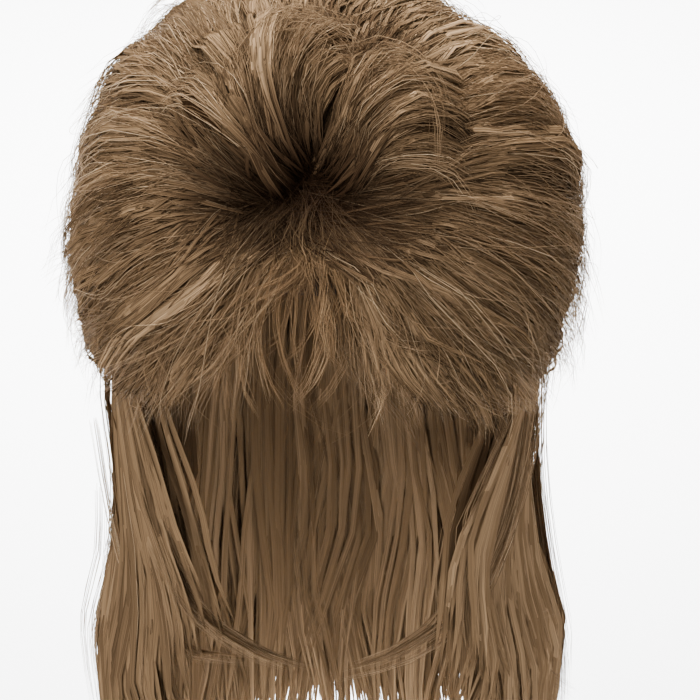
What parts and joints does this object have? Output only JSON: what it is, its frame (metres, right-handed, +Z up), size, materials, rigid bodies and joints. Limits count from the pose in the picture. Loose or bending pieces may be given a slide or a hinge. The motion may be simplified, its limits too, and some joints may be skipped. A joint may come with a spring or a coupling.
{
  "type": "mullet wig",
  "caption": "Mullet wig: short teased crown and thin fringe, long straight hair behind the ears and at the nape, on a thin stretch cap open for the head.",
  "frame": {"origin": "inside of the cap at the top of the head", "axes": "+Z up, the wearer's face looks along -Y, +X towards the wearer's left"},
  "size_m": [0.2, 0.2228, 0.4308],
  "materials": {
    "cap_net": "dark stretch net, matte",
    "hair_short": "light brown synthetic hair fibre, soft sheen, dark roots",
    "hair_fringe": "light brown synthetic hair fibre, thin and see-through",
    "hair_long": "light brown synthetic hair fibre, smooth and straight"
  },
  "bodies": {
    "root": {"cap": "cap_net", "crown_hair": "hair_short", "fringe": "hair_fringe", "side_hair_left": "hair_short", "side_hair_right": "hair_short", "back_hair": "hair_short", "tail_left": "hair_long", "tail_right": "hair_long", "tail_back_left": "hair_long", "tail_back_right": "hair_long"}
  },
  "joints": []
}
